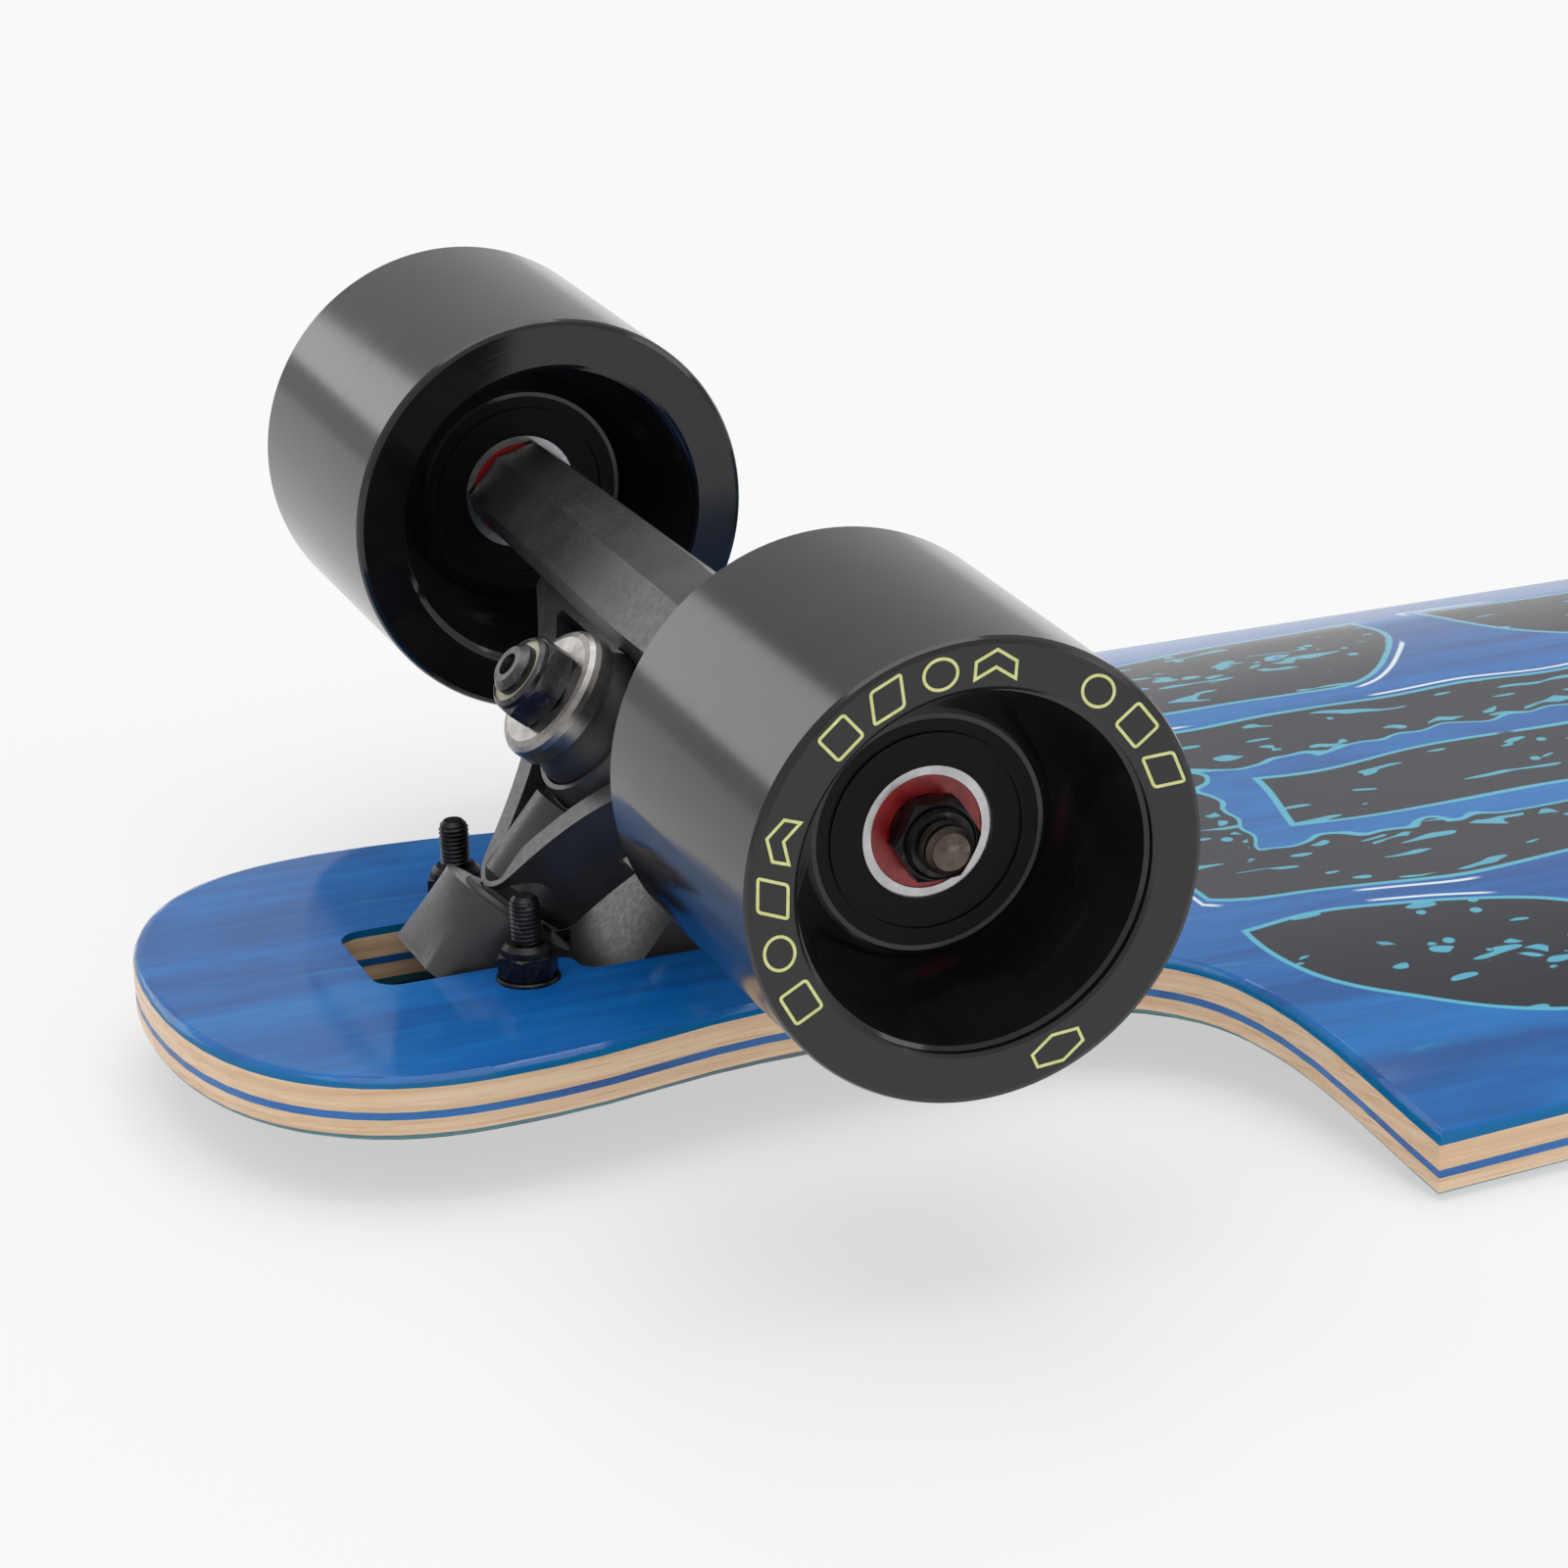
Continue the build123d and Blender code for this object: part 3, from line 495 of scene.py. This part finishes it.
print("making finishes")
# dark, light and rubbed colours, then roughness
steels = {
    "darkSteel": ((0.045, 0.045, 0.05), (0.10, 0.10, 0.105), (0.28, 0.27, 0.26), 0.3),
    "blackOxide": ((0.018, 0.018, 0.02), (0.045, 0.045, 0.05), (0.16, 0.155, 0.15), 0.34),
    "washerSteel": ((0.24, 0.225, 0.21), (0.38, 0.36, 0.34), (0.5, 0.48, 0.46), 0.28),
    "bearingSteel": ((0.42, 0.42, 0.43), (0.54, 0.54, 0.55), (0.64, 0.64, 0.64), 0.2),
    "axleSteel": ((0.07, 0.055, 0.045), (0.14, 0.115, 0.095), (0.25, 0.22, 0.19), 0.36),
}
finishes = {
    "stained_blue_ply": edgeStain("blueEdge", stain),
    "belly": bellyFinish(),
    "maple_ply": mapleFinish(),
    "stained_teal_ply": edgeStain("tealEdge", teal),
    "griptape": gripFinish(),
    "black_paint": paintFinish(),
    "black_urethane": bushingFinish(),
    "dark_steel": steelFinish("darkSteel", *steels["darkSteel"]),
    "black_oxide": steelFinish("blackOxide", *steels["blackOxide"]),
    "washer_steel": steelFinish("washerSteel", *steels["washerSteel"]),
    "bearing_steel": steelFinish("bearingSteel", *steels["bearingSteel"]),
    "axle_steel": steelFinish("axleSteel", *steels["axleSteel"]),
    "red_shield": shieldFinish(),
    "nylon_insert": nylonFinish(),
    "wheel_urethane": wheelFinish(),
    "core_plastic": coreFinish(),
    "print": printFinish(),
}


def finishOf(node):
    # which finish a CAD part wears
    if node == "deck_ply_1":
        return "belly"
    if node.startswith("deck_ply_"):
        return {"5": "stained_blue_ply", "8": "stained_teal_ply"}.get(node[-1], "maple_ply")
    words = {
        "griptape": "griptape",
        "insert": "nylon_insert",
        "bushing": "black_urethane",
        "cup_washer": "washer_steel",
        "pivot_cup": "black_urethane",
        "kingpin_nut": "dark_steel",
        "mounting": "black_oxide",
        "baseplate": "black_paint",
        "hanger": "black_paint",
        "kingpin": "dark_steel",
        "axle_nuts": "black_oxide",
        "axle": "axle_steel",
        "speed_washers": "washer_steel",
        "spacer": "bearing_steel",
        "races": "bearing_steel",
        "balls": "bearing_steel",
        "shields": "red_shield",
        "tyre": "wheel_urethane",
        "core": "core_plastic",
    }
    return next(finish for word, finish in words.items() if word in node)


def dressParts():
    for name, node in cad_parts.items():
        material = finishes[finishOf(name)]
        node.data.materials.clear()
        node.data.materials.append(material)


dressParts()
print("CAD parts dressed")


# modelling helpers

def deselectAll():
    if bpy.context.object and bpy.context.object.mode != "OBJECT":
        bpy.ops.object.mode_set(mode="OBJECT")
    bpy.ops.object.select_all(action="DESELECT")


def started(name):
    # the primitive just added, named, in edit mode with nothing picked
    piece = bpy.context.object
    piece.name = name
    piece.data.name = name
    bpy.ops.object.mode_set(mode="EDIT")
    bpy.ops.mesh.select_all(action="DESELECT")
    return piece


def pick(piece, kind, wanted):
    # selects the vertices, edges or faces that wanted() accepts
    bpy.ops.mesh.select_mode(type={"vertices": "VERT", "edges": "EDGE", "polygons": "FACE"}[kind])
    bpy.ops.mesh.select_all(action="DESELECT")
    bpy.ops.object.mode_set(mode="OBJECT")
    for item in getattr(piece.data, kind):
        item.select = bool(wanted(item))
    bpy.ops.object.mode_set(mode="EDIT")


def finished(piece, matrix=None):
    # back to object mode, put in place, with the place in the mesh
    if bpy.context.object.mode != "OBJECT":
        bpy.ops.object.mode_set(mode="OBJECT")
    deselectAll()
    piece.select_set(True)
    bpy.context.view_layer.objects.active = piece
    if matrix is not None:
        piece.matrix_world = matrix @ piece.matrix_world
    bpy.ops.object.transform_apply(location=True, rotation=True, scale=True)
    return piece


def applyAll(piece):
    bpy.context.view_layer.objects.active = piece
    for modifier in list(piece.modifiers):
        bpy.ops.object.modifier_apply(modifier=modifier.name)


def tidyFaces(piece):
    deselectAll()
    piece.select_set(True)
    bpy.context.view_layer.objects.active = piece
    bpy.ops.object.mode_set(mode="EDIT")
    bpy.ops.mesh.select_all(action="SELECT")
    bpy.ops.mesh.remove_doubles(threshold=1e-7)
    bpy.ops.mesh.normals_make_consistent(inside=False)
    bpy.ops.object.mode_set(mode="OBJECT")


def copied(piece, name, matrix):
    # a copy with its own mesh
    deselectAll()
    piece.select_set(True)
    bpy.context.view_layer.objects.active = piece
    bpy.ops.object.duplicate()
    other = bpy.context.object
    other.name = name
    other.data.name = name
    return finished(other, matrix)


def paint(piece, finish):
    piece.data.materials.clear()
    piece.data.materials.append(finishes[finish])
    return piece


# threads

threads = {
    "boltRadius": 2.4 * mm,
    "boltPitch": 0.8 * mm,
    "boltLength": 7.6 * mm,
    "boltStart": 7.0 * mm,  # above the belly
    "boltsX": (-37.9 * mm, 15.9 * mm),
    "boltsY": 20.65 * mm,
    "axleRadius": 4.0 * mm,
    "axlePitch": 1.0 * mm,
    "axleLength": 2.6 * mm,
    "axleStart": 121.8 * mm,
    "depth": 0.32 * mm,
    "root": 0.06 * mm,  # how far the tooth's foot sits inside the shank
    "steps": 28,
}


def threadRidge(name, radius, pitch, length):
    # one tooth swept up round Z from the origin
    deselectAll()
    upright = (math.pi / 2, 0, 0)
    bpy.ops.mesh.primitive_plane_add(size=pitch, location=(radius, 0, 0), rotation=upright)
    ridge = started(name)
    finished(ridge)
    bpy.ops.object.mode_set(mode="EDIT")
    pick(ridge, "vertices", lambda v: v.co.x > radius)
    bpy.ops.mesh.merge(type="CENTER")
    pick(ridge, "vertices", lambda v: v.co.x > radius)
    bpy.ops.transform.translate(value=(threads["depth"] - pitch / 2, 0, 0))
    pick(ridge, "vertices", lambda v: v.co.x < radius)
    bpy.ops.transform.translate(value=(pitch / 2 - threads["root"], 0, 0))
    bpy.ops.transform.resize(value=(1, 1, 0.96), center_override=(radius, 0, 0))
    bpy.ops.object.mode_set(mode="OBJECT")
    screw = ridge.modifiers.new("Screw", "SCREW")
    screw.screw_offset = pitch
    screw.iterations = int(length / pitch)
    screw.steps = screw.render_steps = threads["steps"]
    screw.use_normal_calculate = True
    applyAll(ridge)
    tidyFaces(ridge)
    bpy.ops.object.shade_smooth_by_angle(angle=math.radians(40))
    return ridge


def boltThreads():
    t = threads
    first = threadRidge("boltThread", t["boltRadius"], t["boltPitch"], t["boltLength"])
    for end, sign in ends.items():
        for i, x in enumerate(t["boltsX"]):
            for side, way in sides.items():
                place = Vector((sign * (axleX - x), way * t["boltsY"], bellyZ + t["boltStart"]))
                turn = Matrix.Rotation(1.3 * i + 0.7 * way + sign, 4, "Z")  # each starts elsewhere
                name = f"{end}_{side}_bolt_thread_{i}"
                thread = copied(first, name, Matrix.Translation(place) @ turn)
                paint(thread, "black_oxide")
                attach(thread, "root")
    bpy.data.objects.remove(first)


def axleThreads():
    t = threads
    first = threadRidge("axleThread", t["axleRadius"], t["axlePitch"], t["axleLength"])
    for end, sign in ends.items():
        for side, way in sides.items():
            place = Vector((sign * axleX, way * t["axleStart"], axleZ))
            turn = Matrix.Rotation(-way * math.pi / 2, 4, "X")
            thread = copied(first, f"{end}_{side}_axle_thread", Matrix.Translation(place) @ turn)
            paint(thread, "axle_steel")
            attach(thread, f"{end}_hanger")
    bpy.data.objects.remove(first)


boltThreads()
axleThreads()
print("threads made")


# bushings, between the board and the hanger

kingpinAngle = math.radians(40)
kingpinOffset = -22.4 * mm

bushings = {
    "roadside": {  # cone, from the hanger's seat up to the cup washer
        # height along the kingpin from the axle's level, and radius, in mm
        "rings": [
            (-0.9, 12.2), (-0.5, 12.7), (0.2, 12.95), (1.6, 13.0), (3.4, 12.95),
            (4.6, 12.75), (6.2, 12.1), (8.0, 11.35), (9.4, 10.8), (10.4, 10.5),
            (11.4, 10.25), (11.9, 9.9), (12.1, 9.3),
        ],
        "fixed": 11.0,
        "moving": 0.5,
    },
    "boardside": {  # barrel, from the hanger's seat down to the board's cup washer
        "rings": [
            (-20.9, 9.8), (-20.6, 10.4), (-19.8, 10.75), (-18.6, 10.8), (-17.8, 11.9),
            (-17.0, 12.6), (-15.2, 12.95), (-12.5, 13.0), (-9.6, 12.95), (-8.0, 12.75),
            (-7.4, 12.4), (-7.1, 11.9),
        ],
        "fixed": -19.5,
        "moving": -8.0,
    },
    "steps": 72,
}


def kingpinFrame(sign):
    # from a piece along +Z to the kingpin of that truck
    along = Vector((sign * math.cos(kingpinAngle), 0, math.sin(kingpinAngle)))
    across = Vector((-sign * math.sin(kingpinAngle), 0, math.cos(kingpinAngle)))
    place = Vector((sign * axleX, 0, axleZ)) + across * kingpinOffset
    side = along.cross(across)
    turn = Matrix((across, -side, along)).transposed().to_4x4()
    return Matrix.Translation(place) @ turn


def ringStack(name, rings, steps):
    # a round piece built ring by ring along Z
    deselectAll()
    low, first = rings[0]
    bpy.ops.mesh.primitive_circle_add(
        vertices=steps, radius=first * mm, location=(0, 0, low * mm), fill_type="NGON"
    )
    piece = started(name)
    bpy.ops.mesh.select_all(action="SELECT")
    last = (low, first)
    for height, radius in rings[1:]:
        climb = (0, 0, (height - last[0]) * mm)
        bpy.ops.mesh.extrude_region_move(TRANSFORM_OT_translate={"value": climb})
        scale = radius / last[1]
        bpy.ops.transform.resize(value=(scale, scale, 1), center_override=(0, 0, height * mm))
        last = (height, radius)
    bpy.ops.object.mode_set(mode="OBJECT")
    tidyFaces(piece)
    bpy.ops.object.shade_smooth_by_angle(angle=math.radians(35))
    return finished(piece)


def makeBushings():
    for kind in ("roadside", "boardside"):
        b = bushings[kind]
        first = ringStack("bushing", b["rings"], bushings["steps"])
        for end, sign in ends.items():
            place = kingpinFrame(sign)
            piece = copied(first, f"{end}_{kind}_bushing_soft", place)
            tidyFaces(piece)
            paint(piece, "black_urethane")
            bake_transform(piece)
            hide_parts(f"{end}_{kind}_bushing")
        bpy.data.objects.remove(first)


makeBushings()
print("bushings made")


# print on the outer wheel faces: plain outlined shapes

marks = {
    "radius": 33.6 * mm,  # middle of the printed band
    "height": 5.4 * mm,
    "width": 7.6 * mm,
    "stroke": 0.5 * mm,
    "proud": 0.05 * mm,
    "start": 208,  # degrees round the face, then clockwise
    "step": -15.6,
    "order": [
        "bar", "ring", "slant", "chevron", "gap",
        "bar", "slant", "ring", "chevron", "gap",
        "ring", "bar", "slant",
    ],
    "badge": 292,
    "lean": 0.9 * mm,
    "corner": 0.7 * mm,
}


def outlineFrom(piece, name):
    # keeps a rim of the flat shape and gives it the thickness of print
    finished(piece)
    bpy.ops.object.mode_set(mode="EDIT")
    bpy.ops.mesh.select_all(action="SELECT")
    bpy.ops.mesh.inset(thickness=marks["stroke"], depth=0)
    bpy.ops.mesh.delete(type="FACE")
    bpy.ops.mesh.select_all(action="SELECT")
    bpy.ops.mesh.extrude_region_move(TRANSFORM_OT_translate={"value": (0, 0, marks["proud"] * 2)})
    bpy.ops.mesh.select_all(action="SELECT")
    bpy.ops.transform.translate(value=(0, 0, -marks["proud"]))
    bpy.ops.object.mode_set(mode="OBJECT")
    tidyFaces(piece)
    return piece


def barMark(lean=0.0):
    m = marks
    deselectAll()
    bpy.ops.mesh.primitive_plane_add(size=1)
    piece = started("barMark")
    bpy.ops.mesh.select_all(action="SELECT")
    size = (m["width"] * 0.78, m["height"], 1)
    bpy.ops.transform.resize(value=size, center_override=(0, 0, 0))
    pick(piece, "vertices", lambda v: v.co.y > 0)
    bpy.ops.transform.translate(value=(lean, 0, 0))
    pick(piece, "vertices", lambda v: v.co.y < 0)
    bpy.ops.transform.translate(value=(-lean, 0, 0))
    bpy.ops.mesh.select_all(action="SELECT")
    bpy.ops.mesh.bevel(offset=m["corner"], segments=3, affect="VERTICES")
    return outlineFrom(piece, "barMark")


def ringMark():
    m = marks
    deselectAll()
    bpy.ops.mesh.primitive_circle_add(vertices=36, radius=m["height"] / 2, fill_type="NGON")
    piece = started("ringMark")
    bpy.ops.mesh.select_all(action="SELECT")
    bpy.ops.transform.resize(value=(1.12, 1, 1), center_override=(0, 0, 0))
    return outlineFrom(piece, "ringMark")


def chevronMark():
    m = marks
    deselectAll()
    bpy.ops.mesh.primitive_plane_add(size=1)
    piece = started("chevronMark")
    bpy.ops.mesh.select_all(action="SELECT")
    size = (m["width"] * 0.95, m["height"] * 0.62, 1)
    bpy.ops.transform.resize(value=size, center_override=(0, 0, 0))
    bpy.ops.mesh.subdivide(number_cuts=1)
    bpy.ops.mesh.select_all(action="DESELECT")
    pick(piece, "vertices", lambda v: abs(v.co.x) < 1e-5)
    bpy.ops.transform.translate(value=(0, m["height"] * 0.38, 0))
    bpy.ops.mesh.select_all(action="SELECT")
    bpy.ops.mesh.dissolve_limited(angle_limit=math.radians(1))
    bpy.ops.mesh.select_all(action="SELECT")
    bpy.ops.transform.translate(value=(0, -m["height"] * 0.19, 0))
    return outlineFrom(piece, "chevronMark")


def badgeMark():
    # a plain six-sided frame
    m = marks
    deselectAll()
    bpy.ops.mesh.primitive_circle_add(vertices=6, radius=m["height"] / 2, fill_type="NGON")
    piece = started("badgeMark")
    bpy.ops.mesh.select_all(action="SELECT")
    bpy.ops.transform.resize(value=(1.9, 1, 1), center_override=(0, 0, 0))
    return outlineFrom(piece, "badgeMark")


def printWheels():
    m = marks
    shapes = {
        "bar": barMark(),
        "slant": barMark(m["lean"]),
        "ring": ringMark(),
        "chevron": chevronMark(),
        "badge": badgeMark(),
    }
    layout = [(kind, m["start"] + i * m["step"]) for i, kind in enumerate(m["order"])]
    layout = [spot for spot in layout if spot[0] != "gap"] + [("badge", m["badge"])]
    for end, sign in ends.items():
        for side, way in sides.items():
            made = []
            for i, (kind, degrees) in enumerate(layout):
                # flat shape, its top away from the hub, then stood up on the face
                around = Matrix.Rotation(math.radians(degrees - 90), 4, "Z")
                out = Matrix.Translation((0, m["radius"], 0))
                stand = Matrix.Rotation(math.pi / 2, 4, "X")
                face = Matrix.Translation((sign * axleX, way * wheel["face"], axleZ))
                half = Matrix.Rotation(math.pi if way > 0 else 0, 4, "Z")
                place = face @ half @ stand @ around @ out
                made.append(copied(shapes[kind], f"{end}_{side}_mark_{i}", place))
            deselectAll()
            for piece in made:
                piece.select_set(True)
            bpy.context.view_layer.objects.active = made[0]
            bpy.ops.object.join()
            joined = bpy.context.object
            joined.name = f"{end}_{side}_wheel_print"
            joined.data.name = joined.name
            paint(joined, "print")
            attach(joined, f"{end}_{side}_wheel")
    for shape in shapes.values():
        bpy.data.objects.remove(shape)


printWheels()
print("wheel print made")


# floor, light and camera

studio = {
    "floor": (0.37, 0.37, 0.373),
    "floorSize": 30,
    "floorDrop": 0.02 * mm,  # keeps the paper just clear of the grip face
    "floorGlow": 0.55,
    "world": 0.62,
    "panels": [
        # place, where it points, size across and up, brightness
        ((1.0, 2.9, 4.1), (-0.4, 0.0, 0.05), 1.5, 1.3, 3.0),
        ((-1.95, 3.3, 1.3), (-0.4, 0.0, 0.05), 1.5, 1.6, 1.5),
        ((-0.4, 0.0, 3.2), (-0.3, 0.0, 0.0), 3.0, 3.0, 1.7),
        ((2.6, -2.2, 1.5), (-0.3, 0.0, 0.05), 1.0, 1.6, 1.6),
    ],
    "camera": (-0.688731, -0.827154, 0.364623),
    "turn": (1.2197055, 0.0389232, -0.3615989),
    "lens": 119.7743,
}


def makeFloor():
    deselectAll()
    bpy.ops.mesh.primitive_plane_add(
        size=studio["floorSize"], location=(0, 0, -studio["floorDrop"])
    )
    floor = bpy.context.object
    floor.name = "floor"
    finish = Finish("palePaper", Roughness=0.9)
    soft = finish.noise(finish.object, 0.8, 2, 0.5)
    paler = [part * 1.01 for part in studio["floor"]]
    finish.feed(Base_Color=finish.mix(soft, studio["floor"], paler))
    finish.shader.inputs["Specular IOR Level"].default_value = 0.0
    finish.shader.inputs["Emission Color"].default_value = (1, 1, 1, 1)
    finish.shader.inputs["Emission Strength"].default_value = studio["floorGlow"]
    floor.data.materials.append(finish.material)


def makeLights():
    world = bpy.data.worlds.new("studioAir")
    world.use_nodes = True
    background = world.node_tree.nodes["Background"]
    background.inputs["Color"].default_value = (1, 1, 1, 1)
    background.inputs["Strength"].default_value = studio["world"]
    bpy.context.scene.world = world
    for i, (place, target, across, up, bright) in enumerate(studio["panels"]):
        light = bpy.data.lights.new(f"panel{i}", "AREA")
        light.shape = "RECTANGLE"
        light.size = across
        light.size_y = up
        light.energy = bright * math.pi * across * up
        lamp = bpy.data.objects.new(f"panel{i}", light)
        bpy.context.scene.collection.objects.link(lamp)
        lamp.location = place
        lamp.rotation_mode = "QUATERNION"
        lamp.rotation_quaternion = (Vector(target) - Vector(place)).to_track_quat("-Z", "Y")


def makeCamera():
    data = bpy.data.cameras.new("camera")
    data.lens = studio["lens"]
    data.sensor_width = 36
    data.clip_start = 0.05
    data.clip_end = 100
    camera = bpy.data.objects.new("camera", data)
    bpy.context.scene.collection.objects.link(camera)
    camera.location = studio["camera"]
    camera.rotation_euler = studio["turn"]
    bpy.context.scene.camera = camera


makeFloor()
makeLights()
makeCamera()
bpy.context.scene.view_settings.view_transform = "Standard"
print("studio ready")
